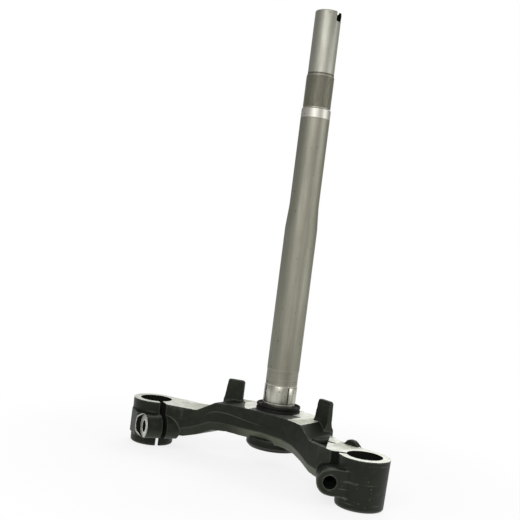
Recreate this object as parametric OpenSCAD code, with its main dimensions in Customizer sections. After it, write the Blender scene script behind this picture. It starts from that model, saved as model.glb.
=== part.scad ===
// Lower triple clamp of a small motorcycle: cast yoke, pressed-in steering stem, dust seal.
// X runs along the line of the two fork legs, -Y is the front, +Z runs up the stem.
// Origin: stem axis, at the middle of the lower bearing seat.
// The modules are drawn from the plane of the clamp tops and lowered by datum at the end.

/* [Fork clamps] */
// Distance between the two fork leg axes
leg_spacing = 230; // [216:1:244]
// Fork leg axes in front of the stem axis
leg_offset = 40; // [37:1:43]
// Fork leg bore diameter
leg_bore_d = 30; // [29:0.5:31]
// Outer diameter of a clamp at its top
clamp_top_d = 43; // [42:0.5:45]
// Outer diameter of a clamp at its bottom
clamp_low_d = 40.5; // [39:0.5:42]
// Height of a clamp
clamp_h = 42; // [40:1:46]
// Chamfer round the bottom edge of a clamp
clamp_chamfer = 1.2; // [0.6:0.2:2]
// Width of the slit of a clamp
slit_w = 4.2; // [3:0.2:5]
// Angle of the slit in front of the leg line
slit_angle = 32; // [28:1:34]

/* [Pinch bolt bosses] */
// Bolt axis away from the leg axis
pinch_reach = 26.6; // [25:0.2:28]
// Bolt axis below the clamp top
pinch_drop = 21.5; // [19:0.5:24]
// Diameter of a boss
pinch_boss_d = 22; // [21:0.5:24]
// Bolt face of the right boss away from the slit
pinch_face = 17; // [15:0.5:18]
// Bolt face of the left boss away from the slit
pinch_face_left = 18.4; // [18:0.2:19.2]
// Cast pad beside the left bolt face, away from the slit
pinch_pad = 22.2; // [21.8:0.2:23]
// Back end of a boss away from the slit
pinch_back = 15; // [13:0.5:17]
// Clearance hole in the front ear
pinch_hole_d = 11; // [10.5:0.25:11.5]
// Tapped hole in the rear ear
pinch_tap_d = 8.5; // [8.5:0.1:9]
// Depth of the tapped hole behind the slit
pinch_tap_depth = 21; // [18:1:24]
// Diameter of the spot face on the left clamp
spot_d = 21.6; // [20:0.2:22]
// Depth of that spot face
spot_depth = 1.4; // [0.8:0.2:2]

/* [Bridge] */
// Height of the plateau above the clamp tops
plateau_h = 9.5; // [8:0.5:11]
// Half the length of the plateau
plateau_half = 47; // [45:1:49]
// Where its slopes end
slope_end = 62; // [59:1:64]
// Underside of the bridge at the middle
bridge_low = 17.2; // [15:0.2:19]
// Underside of the arms at the clamps
arm_low = 28.5; // [27:0.5:30]
// Height of the chamfer along the lower front edge
band_h = 8; // [6:0.5:10]
// Depth of that chamfer
band_in = 4.5; // [3:0.5:6]
// Diameter of the boss under the bridge
boss_d = 52; // [50:0.5:54]
// Lowest face of that boss
boss_low = 25.4; // [24:0.2:27]

/* [Tabs] */
// Width of a tab at its top
tab_top_w = 16; // [14:0.5:18]
// Width of a tab at its foot
tab_foot_w = 18.5; // [17:0.5:21]
// Thickness of a tab at its foot
tab_t = 6; // [5:0.5:8]
// Top of the tabs above the clamp tops
tab_h = 29.5; // [26:0.5:33]
// Turn of the left tab
tab_turn_left = 24; // [0:1:30]
// Turn of the right tab
tab_turn_right = 16; // [0:1:30]
// Height of the small stop lug on the right arm
lug_h = 4.6; // [3.5:0.1:6]

/* [Stem] */
// Diameter of the lower shaft
stem_d = 30; // [29:0.1:31]
// Diameter of the bearing seat above the seal
seat_d = 30.4; // [30.4:0.1:31]
// Diameter of the upper shaft
upper_d = 27.2; // [26.8:0.1:28]
// Outside diameter of the thread
thread_d = 26; // [25.6:0.1:26.4]
// Diameter of the plain top end
top_d = 24.4; // [23.8:0.1:25]
// Bore of the tube
tube_bore_d = 19; // [17:0.5:20]
// Top of the stem above the clamp tops
stem_top = 381.5; // [370:0.5:395]
// Top of the thread
thread_top = 323; // [318:0.5:328]
// Bottom of the thread
thread_low = 291.5; // [288:0.5:294]
// Bottom of the bright ground band
band_low = 282; // [279:0.5:285]
// Top of the swaged cone
swage_top = 203; // [198:1:208]
// Bottom of the swaged cone
swage_low = 179; // [174:1:184]
// Top of the bearing seat
seat_top = 33; // [31:0.5:36]
// Bottom of the bearing seat
seat_low = 17.5; // [17:0.1:18.5]
// Bottom of the stem below the clamp tops
stem_low = 22; // [20:0.5:22]
// Width of the notch in the top end
notch_w = 7; // [6:0.5:9]
// Depth of the notch
notch_h = 9; // [7:0.5:11]
// Clearance between stem and yoke, a press fit
press_fit = 0; // [0:0.01:0.02]

/* [Dust seal] */
// Outer diameter of the seal
seal_d = 41; // [39.5:0.5:43]
// Height of the seal
seal_h = 5.9; // [5.4:0.1:6.6]

/* [Hidden] */
$fn = 96;
eps = 0.01;
leg_x = leg_spacing / 2;
leg_r = leg_bore_d / 2;
stem_r = stem_d / 2;
datum = (seat_low + seat_top) / 2;
tab_y_left = -5;
tab_y_right = -1;

// Clamps
module at_leg(side) {
    translate([side * leg_x, -leg_offset, 0]) children();
}

// local frame of the slit: +X runs out along the slit, +Y runs to the bolt head
module slit_frame(side) {
    at_leg(side) rotate([0, 0, side > 0 ? 180 + slit_angle : -slit_angle]) children();
}

// bolt frame: +Z runs along the bolt to its head, its origin lies in the slit
module bolt_frame(side) {
    slit_frame(side) translate([pinch_reach, 0, -pinch_drop]) rotate([side > 0 ? -90 : 90, 0, 0]) children();
}

module clamp_ring(side) {
    at_leg(side) {
        translate([0, 0, -clamp_h + clamp_chamfer])
            cylinder(h = clamp_h - clamp_chamfer, r1 = clamp_low_d / 2, r2 = clamp_top_d / 2);
        translate([0, 0, -clamp_h])
            cylinder(h = clamp_chamfer + eps, r1 = clamp_low_d / 2 - clamp_chamfer, r2 = clamp_low_d / 2);
    }
}

module pinch_boss(side) {
    face = side > 0 ? pinch_face : pinch_face_left;
    len = face + pinch_back;
    bolt_frame(side) {
        translate([0, 0, -pinch_back]) cylinder(h = len - 0.8, d = pinch_boss_d);
        translate([0, 0, face - 0.8])
            cylinder(h = 0.8, r1 = pinch_boss_d / 2, r2 = pinch_boss_d / 2 - 0.8);
    }
    slit_frame(side) translate([6, side > 0 ? -pinch_back : -face, -pinch_drop - pinch_boss_d / 2])
        cube([pinch_reach - 6, len, pinch_boss_d]);
    // raised pad that joins the left bolt face to the round of the clamp
    if (side < 0) slit_frame(side) {
        translate([0, 0, -pinch_drop - pinch_boss_d / 2]) linear_extrude(pinch_boss_d)
            polygon([[-14, -15.6], [-8, -pinch_pad + 2.2], [-2, -pinch_pad], [17, -pinch_pad],
                [pinch_reach - 5, -pinch_face_left], [pinch_reach - 5, -8], [-10, -8]]);
    }
}

module clamp_cuts(side) {
    at_leg(side) {
        translate([0, 0, -clamp_h - 1]) cylinder(h = clamp_h + 2, r = leg_r);
    }
    slit_frame(side)
        translate([leg_r - 4, -slit_w / 2, -clamp_h - 1]) cube([34, slit_w, clamp_h + 2]);
    bolt_frame(side) {
        translate([0, 0, 0]) cylinder(h = pinch_face_left + 1, d = pinch_hole_d, $fn = 48);
        translate([0, 0, -pinch_tap_depth]) cylinder(h = pinch_tap_depth + 1, d = pinch_tap_d, $fn = 48);
    }
    if (side < 0) bolt_frame(side)
        translate([0, 0, pinch_face_left - spot_depth]) cylinder(h = spot_depth + 12, d = spot_d);
}

// Bridge
// stations along the bridge: place, front edge, underside
function stations() = let (end = leg_x - 16, front = leg_offset + 15.5) [
    [-end, -front, -arm_low], [-end + 9, -front + 2.7, -arm_low], [-75, -48, -arm_low + 0.7],
    [-63, -44, -bridge_low - 6.8], [-50, -37, -bridge_low - 0.3], [-38, -31, -bridge_low + 0.5],
    [-24, -26.5, -bridge_low - 0.6], [0, -24.5, -bridge_low], [24, -26.5, -bridge_low - 0.6],
    [38, -31, -bridge_low - 1.8], [50, -36.5, -bridge_low - 5], [63, -42.5, -bridge_low - 10.3],
    [75, -47.5, -arm_low - 0.4], [end - 9, -front + 2.7, -arm_low], [end, -front, -arm_low]
];

// plan of the whole bridge, seen from above
module bridge_plan() {
    wing = leg_x - 6;
    back = leg_offset - 40;
    polygon(concat(
        [[wing, -18.6 - back], [leg_x - 19, -15], [81, -14], [64, -5], [46, 9], [26, 19],
            [-26, 19], [-46, 9], [-64, -5], [-81, -14], [19 - leg_x, -15], [-wing, -18.6 - back]],
        [[-wing, -leg_offset - 15]],
        [for (s = stations()) [s[0], s[1]]],
        [[wing, -leg_offset - 15]]
    ));
}

// side view of the bridge
module bridge_side() {
    rotate([90, 0, 0]) linear_extrude(200, center = true)
        polygon(concat(
            [[leg_x, -arm_low], [leg_x, 0], [slope_end, 0], [plateau_half, plateau_h],
                [-plateau_half, plateau_h], [-slope_end, 0], [-leg_x, 0], [-leg_x, -arm_low]],
            [for (s = stations()) [s[0], s[2]]]
        ));
}

// wedge that cuts the lower front chamfer between two stations
module front_chamfer(a, b) {
    over = 2;
    function corners(s) = [
        [s[0], s[1] - over, s[2] + band_h * (1 + over / band_in)],
        [s[0], s[1] + band_in * (1 + over / band_h), s[2] - over],
        [s[0], s[1] - over, s[2] - over]
    ];
    polyhedron(points = concat(corners(a), corners(b)),
        faces = [[0, 2, 1], [3, 4, 5], [0, 1, 4, 3], [1, 2, 5, 4], [2, 0, 3, 5]]);
}

// nothing of the bridge stands in front of the slits
module before_slits() {
    for (side = [-1, 1])
        slit_frame(side) translate([0, side > 0 ? 0 : -60, -60]) cube([60, 60, 100]);
}

module bridge() {
    edge = stations();
    difference() {
        intersection() {
            translate([0, 0, -60]) linear_extrude(100) bridge_plan();
            bridge_side();
        }
        for (i = [0 : len(edge) - 2])
            front_chamfer(edge[i], edge[i + 1]);
        before_slits();
    }
}

// round boss under the bridge; above the underside it only shows behind
module stem_boss() {
    r = boss_d / 2;
    translate([0, 0, -boss_low + 3]) cylinder(h = boss_low - 3 - bridge_low + 2, r = r);
    translate([0, 0, -boss_low]) cylinder(h = 3 + eps, r1 = r - 3, r2 = r);
    intersection() {
        translate([0, 0, -boss_low + 3]) cylinder(h = plateau_h + boss_low - 3, r = r);
        translate([-r - 1, 0, -boss_low]) cube([2 * r + 2, r + 1, 60]);
    }
}

// upright tab: a tapered plate with blunt corners, standing on the slope
module tab(side, turn, x, y) {
    z0 = -4;
    translate([x, y, 0]) rotate([0, 0, turn]) {
        intersection() {
            rotate([90, 0, 0]) linear_extrude(tab_t, center = true) polygon([
                [tab_top_w / 2 - tab_foot_w, z0], [tab_top_w / 2, z0], [tab_top_w / 2, tab_h - 1.6],
                [tab_top_w / 2 - 1.6, tab_h], [1 - tab_top_w / 2, tab_h],
                [-tab_top_w / 2, tab_h - 1], [tab_top_w / 2 - tab_foot_w, 6]
            ]);
            rotate([90, 0, 90]) linear_extrude(tab_foot_w * 2, center = true) polygon([
                [-tab_t / 2, z0], [tab_t / 2, z0], [tab_t / 2, 8], [tab_t / 2 - 1, tab_h + 1],
                [-tab_t / 2 + 1, tab_h + 1], [-tab_t / 2, 8]
            ]);
        }
        // fillet-like foot in front of and behind the plate
        translate([(tab_top_w - tab_foot_w) / 2, 0, 0])
            rotate([90, 0, 90]) linear_extrude(tab_foot_w, center = true) polygon([
            [-tab_t / 2 - 3.4, z0], [tab_t / 2 + 3.4, z0], [tab_t / 2 + 3, 3.5], [tab_t / 2 + 1.2, 6],
            [tab_t / 2 - 0.4, 11], [-tab_t / 2 + 0.4, 11], [-tab_t / 2 - 1.2, 6], [-tab_t / 2 - 3, 3.5]
        ]);
    }
}

module stop_lug() {
    translate([leg_x - 25, -16.2, 0]) rotate([90, 0, 0]) linear_extrude(5, center = true) polygon([
        [-8, -3], [8, -3], [8, 0], [3, lug_h - 0.5], [-1, lug_h], [-4.5, lug_h * 0.78], [-7.4, 0]
    ]);
}

// low triangular pocket and small pit beside it on the right arm
module right_arm_relief() {
    translate([0, 0, -2]) linear_extrude(4) polygon([[62.2, -37.8], [68.1, -18.8], [81.6, -45.6]]);
    translate([75, -26.4, -1.2]) rotate([0, 0, 5]) translate([-3.5, -1.3, 0]) cube([7, 2.6, 3]);
}

module yoke() {
    color("#262a28") translate([0, 0, -datum])
        difference() {
            union() {
                bridge();
                stem_boss();
                clamp_ring(1);
                clamp_ring(-1);
                pinch_boss(1);
                pinch_boss(-1);
                tab(-1, tab_turn_left, -47, tab_y_left);
                tab(1, -tab_turn_right, 50.5, tab_y_right);
                stop_lug();
            }
            clamp_cuts(1);
            clamp_cuts(-1);
            right_arm_relief();
            translate([0, 0, -boss_low - 1]) cylinder(h = boss_low + plateau_h + 2, r = stem_r + press_fit);
            translate([0, 0, plateau_h + eps]) cylinder(h = 30, d = 44);
        }
}

// Stem
module steering_stem() {
    bore_r = tube_bore_d / 2;
    color("#a8a59a") translate([0, 0, -datum])
        difference() {
            rotate_extrude() polygon([
                [bore_r + 0.8, -stem_low], [stem_r - 1, -stem_low], [stem_r, -stem_low + 1],
                [stem_r, seat_low - 0.2], [seat_d / 2, seat_low],
                [seat_d / 2, seat_top], [stem_r - 0.25, seat_top + 0.6], [stem_r - 0.25, seat_top + 14],
                [stem_r, seat_top + 15], [stem_r, swage_low], [upper_d / 2, swage_top],
                [upper_d / 2, thread_low - 0.6], [thread_d / 2, thread_low + 0.2],
                [thread_d / 2, thread_top - 1], [top_d / 2, thread_top],
                [top_d / 2, stem_top - 1.2], [top_d / 2 - 1.2, stem_top], [bore_r + 0.6, stem_top],
                [bore_r, stem_top - 0.6], [bore_r, -stem_low + 0.8]
            ]);
            // notch cut through the wall of the top end, with a round bottom
            translate([0, -notch_w / 2, stem_top - notch_h + notch_w / 2])
                cube([top_d, notch_w, notch_h]);
            translate([0, 0, stem_top - notch_h + notch_w / 2]) rotate([0, 90, 0])
                cylinder(h = top_d, d = notch_w, $fn = 48);
            // shallow axial grooves of the bearing seat
            for (a = [-52, 38, 128, 218])
                rotate([0, 0, a]) translate([seat_d / 2 - 0.5, -0.7, seat_low + 0.2])
                    cube([2, 1.4, seat_top - seat_low + 3]);
        }
}

// Dust seal
module dust_seal() {
    r = seal_d / 2;
    z = plateau_h;
    color("#171918") translate([0, 0, -datum])
        rotate_extrude() polygon([
            [stem_r, z], [r - 0.8, z], [r, z + 0.8], [r, z + 2.4], [r - 1.3, z + 3],
            [r - 1.3, z + 3.8], [r, z + 4.6], [r - 0.2, seal_h + z], [r - 1.1, seal_h + z],
            [r - 2.2, z + 5], [stem_r + 1.6, z + 4.4], [stem_r + 0.9, z + seal_h - 1.2],
            [stem_r, z + seal_h - 0.8]
        ]);
}

yoke();
steering_stem();
dust_seal();
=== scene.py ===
import math

import bmesh
import bpy
from mathutils import Matrix, Vector
from mathutils.kdtree import KDTree


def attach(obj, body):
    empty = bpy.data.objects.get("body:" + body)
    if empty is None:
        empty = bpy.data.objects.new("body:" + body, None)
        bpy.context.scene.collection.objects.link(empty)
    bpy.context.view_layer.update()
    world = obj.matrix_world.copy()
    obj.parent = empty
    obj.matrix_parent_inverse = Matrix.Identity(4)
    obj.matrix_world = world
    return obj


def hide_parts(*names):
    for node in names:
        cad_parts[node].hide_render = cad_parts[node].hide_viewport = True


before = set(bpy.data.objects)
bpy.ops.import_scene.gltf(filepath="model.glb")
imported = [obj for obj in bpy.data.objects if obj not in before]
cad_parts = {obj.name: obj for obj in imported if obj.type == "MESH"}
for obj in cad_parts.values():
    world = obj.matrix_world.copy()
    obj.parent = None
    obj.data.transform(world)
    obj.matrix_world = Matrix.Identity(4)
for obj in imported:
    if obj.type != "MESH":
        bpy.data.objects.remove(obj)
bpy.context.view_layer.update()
mm = 0.001
tiny = 1e-7  # points nearer than this are the same point


# camera, solved from the photograph

cameraSettings = {
    "place": (0.43383, -0.67791, 0.13604),
    "turn": (88.925, -7.244, 35.193),  # degrees
    "lens": 59.867,
    "sensor": 36.0,
    "near": 0.01,  # metres, where the view starts
}


def makeCamera(s):
    data = bpy.data.cameras.new("photoCamera")
    data.lens = s["lens"]
    data.sensor_width = s["sensor"]
    data.sensor_fit = "HORIZONTAL"
    data.clip_start = s["near"]
    camera = bpy.data.objects.new("photoCamera", data)
    camera.location = s["place"]
    camera.rotation_euler = [math.radians(a) for a in s["turn"]]
    bpy.context.scene.collection.objects.link(camera)
    bpy.context.scene.camera = camera


makeCamera(cameraSettings)
print("camera placed")


# mesh helpers

def newObject(name, bm):
    mesh = bpy.data.meshes.new(name)
    bm.to_mesh(mesh)
    bm.free()
    obj = bpy.data.objects.new(name, mesh)
    bpy.context.scene.collection.objects.link(obj)
    return obj


def applyModifiers(obj):
    deps = bpy.context.evaluated_depsgraph_get()
    mesh = bpy.data.meshes.new_from_object(obj.evaluated_get(deps))
    old = obj.data
    obj.modifiers.clear()
    obj.data = mesh
    bpy.data.meshes.remove(old)


def removeObject(obj):
    mesh = obj.data
    bpy.data.objects.remove(obj)
    bpy.data.meshes.remove(mesh)


def addCylinder(bm, place, low, high, lowR, highR=None, segments=96):
    spot = place @ Matrix.Translation((0, 0, (low + high) / 2))
    bmesh.ops.create_cone(bm, cap_ends=True, segments=segments, radius1=lowR,
                          radius2=lowR if highR is None else highR, depth=high - low, matrix=spot)


def addBox(bm, place, low, high):
    low, high = Vector(low), Vector(high)
    spot = place @ Matrix.Translation((low + high) / 2) @ Matrix.Diagonal((*(high - low), 1))
    bmesh.ops.create_cube(bm, size=1, matrix=spot)


def addPrism(bm, place, outline, low, high):
    verts = [bm.verts.new(place @ Vector((x, y, low))) for x, y in outline]
    made = bmesh.ops.extrude_face_region(bm, geom=[bm.faces.new(verts)], use_keep_orig=True)
    top = [v for v in made["geom"] if isinstance(v, bmesh.types.BMVert)]
    bmesh.ops.translate(bm, verts=top, vec=place.to_3x3() @ Vector((0, 0, high - low)))


def spinProfile(name, points, segments):
    # a turned piece from its corners, as radius and height
    bm = bmesh.new()
    verts = [bm.verts.new((r, 0, z)) for r, z in points]
    edges = [bm.edges.new((a, b)) for a, b in zip(verts, verts[1:] + verts[:1])]
    bmesh.ops.spin(bm, geom=verts + edges, axis=(0, 0, 1), cent=(0, 0, 0), angle=2 * math.pi,
                   steps=segments, use_merge=True)
    bmesh.ops.remove_doubles(bm, verts=bm.verts, dist=tiny)
    bmesh.ops.recalc_face_normals(bm, faces=bm.faces)
    return newObject(name, bm)


def boolean(obj, tool, operation):
    step = obj.modifiers.new("tool", "BOOLEAN")
    step.object = tool
    step.operation = operation
    step.solver = "EXACT"
    applyModifiers(obj)
    removeObject(tool)


def shadeByAngle(obj, degrees):
    bm = bmesh.new()
    bm.from_mesh(obj.data)
    limit = math.radians(degrees)
    for face in bm.faces:
        face.smooth = True
    for edge in bm.edges:
        edge.smooth = len(edge.link_faces) == 2 and edge.calc_face_angle(0) < limit
    bm.to_mesh(obj.data)
    bm.free()


# node helpers: numbers and masks

def link(tree, fromSocket, toSocket):
    tree.links.new(fromSocket, toSocket)


def setInputs(tree, node, values):
    # inputs by name or number, set to a value or linked to a socket
    for label, value in values.items():
        if isinstance(value, bpy.types.NodeSocket):
            link(tree, value, node.inputs[label])
        else:
            node.inputs[label].default_value = value


def newNode(tree, kind, values):
    node = tree.nodes.new("ShaderNode" + kind)
    setInputs(tree, node, values)
    return node


def mathNode(tree, operation, *values):
    node = newNode(tree, "Math", {})
    node.operation = operation
    setInputs(tree, node, dict(enumerate(values)))
    return node.outputs[0]


def times(tree, *factors):
    out = factors[0]
    for factor in factors[1:]:
        out = mathNode(tree, "MULTIPLY", out, factor)
    return out


def either(tree, *masks):
    out = masks[0]
    for mask in masks[1:]:
        out = mathNode(tree, "MAXIMUM", out, mask)
    return out


def plus(tree, a, b):
    return mathNode(tree, "ADD", a, b)


def minus(tree, a, b):
    return mathNode(tree, "SUBTRACT", a, b)


def inverse(tree, mask):
    return minus(tree, 1.0, mask)


def absolute(tree, value):
    return mathNode(tree, "ABSOLUTE", value)


def above(tree, value, level):
    return mathNode(tree, "GREATER_THAN", value, level)


def below(tree, value, level):
    return mathNode(tree, "LESS_THAN", value, level)


def within(tree, value, low, high):
    return times(tree, above(tree, value, low), below(tree, value, high))


def nearTo(tree, value, level, reach):
    return mathNode(tree, "COMPARE", value, level, reach)


def scaled(tree, mask, atZero, atOne):
    return mathNode(tree, "MULTIPLY_ADD", mask, atOne - atZero, atZero)


def vectorNode(tree, operation, a, b):
    # the operations used here give one number
    node = newNode(tree, "VectorMath", {0: a, 1: b})
    node.operation = operation
    return node.outputs["Value"]


def axesOf(tree, vector):
    return newNode(tree, "SeparateXYZ", {0: vector}).outputs


def alongAxis(tree, place, axis, origin):
    return minus(tree, vectorNode(tree, "DOT_PRODUCT", place, axis), axis.dot(origin))


def readAxis(tree, place, axisFrame, start=0.0):
    # the distance along an axis from its start, and the distance away from it
    axis = (axisFrame.to_3x3() @ Vector((0, 0, 1))).normalized()
    origin = axisFrame.translation + axis * start
    along = alongAxis(tree, place, axis, origin)
    away = vectorNode(tree, "DISTANCE", place, origin)
    square = minus(tree, times(tree, away, away), times(tree, along, along))
    return along, mathNode(tree, "SQRT", mathNode(tree, "MAXIMUM", 0.0, square))


def spread(tree, value, low, high):
    node = newNode(tree, "MapRange", {"Value": value, "From Min": low, "From Max": high})
    node.interpolation_type = "SMOOTHSTEP"
    return node.outputs["Result"]


# node helpers: colours, patterns and materials

def mixColour(tree, factor, a, b):
    # the colour sockets of the node are 6 and 7
    node = newNode(tree, "Mix", {})
    node.data_type = "RGBA"
    setInputs(tree, node, {0: factor, 6: a, 7: b})
    return node.outputs[2]


def noiseNode(tree, vector, scale, detail=3.0, roughness=0.55):
    values = {"Vector": vector, "Scale": scale, "Detail": detail, "Roughness": roughness}
    return newNode(tree, "TexNoise", values).outputs[0]


def rampNode(tree, value, stops, interpolation="LINEAR"):
    node = newNode(tree, "ValToRGB", {0: value})
    ramp = node.color_ramp
    ramp.interpolation = interpolation
    while len(ramp.elements) < len(stops):
        ramp.elements.new(0.5)
    for element, (place, colour) in zip(ramp.elements, stops):
        element.position = place
        element.color = (*colour, 1)
    return node.outputs[0]


def fade(tree, value, low, high):
    return rampNode(tree, value, [(low, (0, 0, 0)), (high, (1, 1, 1))])


def blotches(tree, vector, scale, detail, low, high, roughness=0.55):
    return fade(tree, noiseNode(tree, vector, scale, detail, roughness), low, high)


def stretched(tree, place, scale):
    return newNode(tree, "Mapping", {"Vector": place, "Scale": scale}).outputs[0]


def attributeOf(tree, name):
    node = newNode(tree, "Attribute", {})
    node.attribute_name = name
    return node.outputs["Fac"]


def newMaterial(name):
    material = bpy.data.materials.new(name)
    material.use_nodes = True
    tree = material.node_tree
    shader = tree.nodes["Principled BSDF"]
    place = newNode(tree, "TexCoord", {}).outputs["Object"]
    return material, tree, shader, place


def bumpInto(tree, shader, height, strength, distance):
    bump = newNode(tree, "Bump", {"Height": height, "Strength": strength, "Distance": distance})
    link(tree, bump.outputs[0], shader.inputs["Normal"])


# node groups that several materials share

grainSettings = {"fineDetail": 4, "coarseDetail": 3, "coarseScale": 0.12}  # a share of the fine grain's scale


def newGroup(name, inputs, outputs):
    group = bpy.data.node_groups.new(name, "ShaderNodeTree")
    for label in inputs:
        kind = "NodeSocketVector" if label == "Vector" else "NodeSocketFloat"
        group.interface.new_socket(label, in_out="INPUT", socket_type=kind)
    for label in outputs:
        group.interface.new_socket(label, in_out="OUTPUT", socket_type="NodeSocketFloat")
    return group, group.nodes.new("NodeGroupInput"), group.nodes.new("NodeGroupOutput")


def makeGrainGroup(s):
    # fine grain with a share of coarse grain, and the coarse grain alone as a tone
    group, give, take = newGroup("castGrain", ["Vector", "Scale", "Coarse"], ["Height", "Tone"])
    vector, scale, coarse = (give.outputs[label] for label in ("Vector", "Scale", "Coarse"))
    fine = newNode(group, "TexNoise", {"Vector": vector, "Scale": scale, "Detail": s["fineDetail"]})
    values = {"Vector": vector, "Scale": times(group, scale, s["coarseScale"]), "Detail": s["coarseDetail"]}
    tone = newNode(group, "TexNoise", values).outputs[0]
    height = plus(group, fine.outputs[0], times(group, tone, coarse))
    setInputs(group, take, {"Height": height, "Tone": tone})
    return group


def makeSpeckGroup():
    # round specks of one size on a share of the cells
    group, give, take = newGroup("speckMask", ["Vector", "Scale", "Size", "Share"], ["Mask"])
    cells = newNode(group, "TexVoronoi", {label: give.outputs[label] for label in ("Vector", "Scale")})
    near = below(group, cells.outputs["Distance"], give.outputs["Size"])
    parts = newNode(group, "SeparateColor", {0: cells.outputs["Color"]})
    kept = below(group, parts.outputs[0], give.outputs["Share"])
    link(group, times(group, near, kept), take.inputs["Mask"])
    return group


grainGroup = makeGrainGroup(grainSettings)
speckGroup = makeSpeckGroup()


def useGroup(tree, group, vector, values):
    node = newNode(tree, "Group", {})
    node.node_tree = group
    setInputs(tree, node, {"Vector": vector, **values})
    return node.outputs


# yoke: the rough casting, then its machined cuts

yokeSettings = {
    "datum": 25.25 * mm,  # clamp tops below the origin
    "legX": 115 * mm, "legOffset": 40 * mm, "legR": 15 * mm,
    "clampH": 42 * mm, "clampTopR": 21.5 * mm, "clampLowR": 20.25 * mm, "clampChamfer": 1.2 * mm,
    "slitW": 4.2 * mm, "slitAngle": 32.0, "slitFrom": 11 * mm, "slitTo": 45 * mm,
    # bolts: out from the leg and down from the clamp top
    # bosses: size, their front faces on the right (1) and left (-1), and their back
    "reach": 26.6 * mm, "drop": 21.5 * mm, "bossR": 11 * mm, "bossFrom": 6 * mm, "bossChamfer": 0.8 * mm,
    "face": {1: 17 * mm, -1: 18.4 * mm}, "back": 15 * mm,
    "holeR": 5.5 * mm, "tapR": 4.25 * mm, "tapDepth": 21 * mm,
    "spotR": 10.8 * mm, "spotDepth": 1.4 * mm,
    "plateau": 9.5 * mm, "stemR": 15 * mm,
    "pocket": [(62.2 * mm, -37.8 * mm), (68.1 * mm, -18.8 * mm), (81.6 * mm, -45.6 * mm)],
    "pocketDepth": 3.4 * mm,
    "pit": (75 * mm, -26.4 * mm), "pitTurn": 5.0, "pitSize": (7 * mm, 2.6 * mm, 1.2 * mm),
    # casting left on for machining: its height, how far out it goes on the plateau and starts on the clamps
    "stock": 4 * mm, "plateauStock": 35.5 * mm, "clampStock": 64.5 * mm,
    "plateauCut": 38.7 * mm, "clampCut": 62.6 * mm,  # the same for the machining
    # left, right and front of the room around the stop lug, without stock and without machining
    "lugStock": (78 * mm, 102 * mm, -21.5 * mm), "lugCut": (81.2 * mm, 98.9 * mm, -19.3 * mm),
    # filling of the holes before machining: how deep it is, and how far it stands past their sides
    "boreFill": -23.9 * mm, "pocketFill": -3 * mm,
    "stemFill": 1 * mm, "tapFill": (0.5 * mm, 0.4 * mm), "pitFill": 0.6,
    # how far the cutters reach, and the sides of the round ones
    "cutUnder": -60 * mm, "cutOver": 20 * mm, "topsHigh": 14 * mm,
    "cutEnds": 160 * mm, "cutFront": -90 * mm, "cutBack": 20 * mm, "plateauSides": 60 * mm,
    "stemCut": 40 * mm, "stemClear": 0.02 * mm, "boltCut": 40 * mm, "spotCut": 30 * mm, "inSlit": 0.5 * mm,
    "sides": {"stem": 128, "leg": 160, "bolt": 64, "tap": 48},
    "voxel": 0.75 * mm, "rounding": (0.5, 3), "keep": 0.40,  # rounding: strength and passes
    # edges that take wear or dirt: their angles, the steps along them and how far they reach
    "ridgeAngle": 24.0, "grooveAngle": 33.0, "creaseStep": 0.4 * mm, "creaseReach": 1.3 * mm,
    "merge": 0.002 * mm, "shadeAngle": 32,
}


def clampTopFrame(s):
    return Matrix.Translation((0, 0, -s["datum"]))


def legFrame(s, side):
    return Matrix.Translation((side * s["legX"], -s["legOffset"], -s["datum"]))


def slitFrame(s, side):
    angle = 180 + s["slitAngle"] if side > 0 else -s["slitAngle"]
    return legFrame(s, side) @ Matrix.Rotation(math.radians(angle), 4, "Z")


def boltFrame(s, side):
    tilt = Matrix.Rotation(math.radians(-90 if side > 0 else 90), 4, "X")
    return slitFrame(s, side) @ Matrix.Translation((s["reach"], 0, -s["drop"])) @ tilt


def pitFrame(s):
    place = Matrix.Translation((*s["pit"], -s["datum"]))
    return place @ Matrix.Rotation(math.radians(s["pitTurn"]), 4, "Z")


def mergedYoke(s):
    bm = bmesh.new()
    bm.from_mesh(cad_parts["yoke"].data)
    bmesh.ops.remove_doubles(bm, verts=bm.verts, dist=s["merge"])
    return bm


def raiseTops(bm, s):
    # stock on the plateau and on the clamp tops, except around the stop lug
    clampTop, plateau = -s["datum"], s["plateau"] - s["datum"]
    level, flat = 0.01 * mm, 0.999  # how near the height and the normal of a top have to be
    lugLeft, lugRight, lugFront = s["lugStock"]
    stations = (s["plateauStock"], -s["plateauStock"], s["clampStock"], -s["clampStock"], lugLeft, lugRight)
    planes = [((x, 0, 0), (1, 0, 0)) for x in stations]
    for point, normal in planes + [((0, lugFront, 0), (0, 1, 0))]:
        bmesh.ops.bisect_plane(bm, geom=bm.verts[:] + bm.edges[:] + bm.faces[:], dist=tiny,
                               plane_co=point, plane_no=normal)
    bm.normal_update()
    tops = []
    for face in bm.faces:
        if face.normal.z < flat:
            continue
        c = face.calc_center_median()
        if abs(c.z - plateau) < level and abs(c.x) < s["plateauStock"]:
            tops.append(face)
        nearLug = lugLeft < c.x < lugRight and c.y > lugFront
        if abs(c.z - clampTop) < level and abs(c.x) > s["clampStock"] and not nearLug:
            tops.append(face)
    raised = bmesh.ops.extrude_face_region(bm, geom=tops)["geom"]
    bmesh.ops.translate(bm, verts=[v for v in raised if isinstance(v, bmesh.types.BMVert)],
                        vec=(0, 0, s["stock"]))


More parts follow.
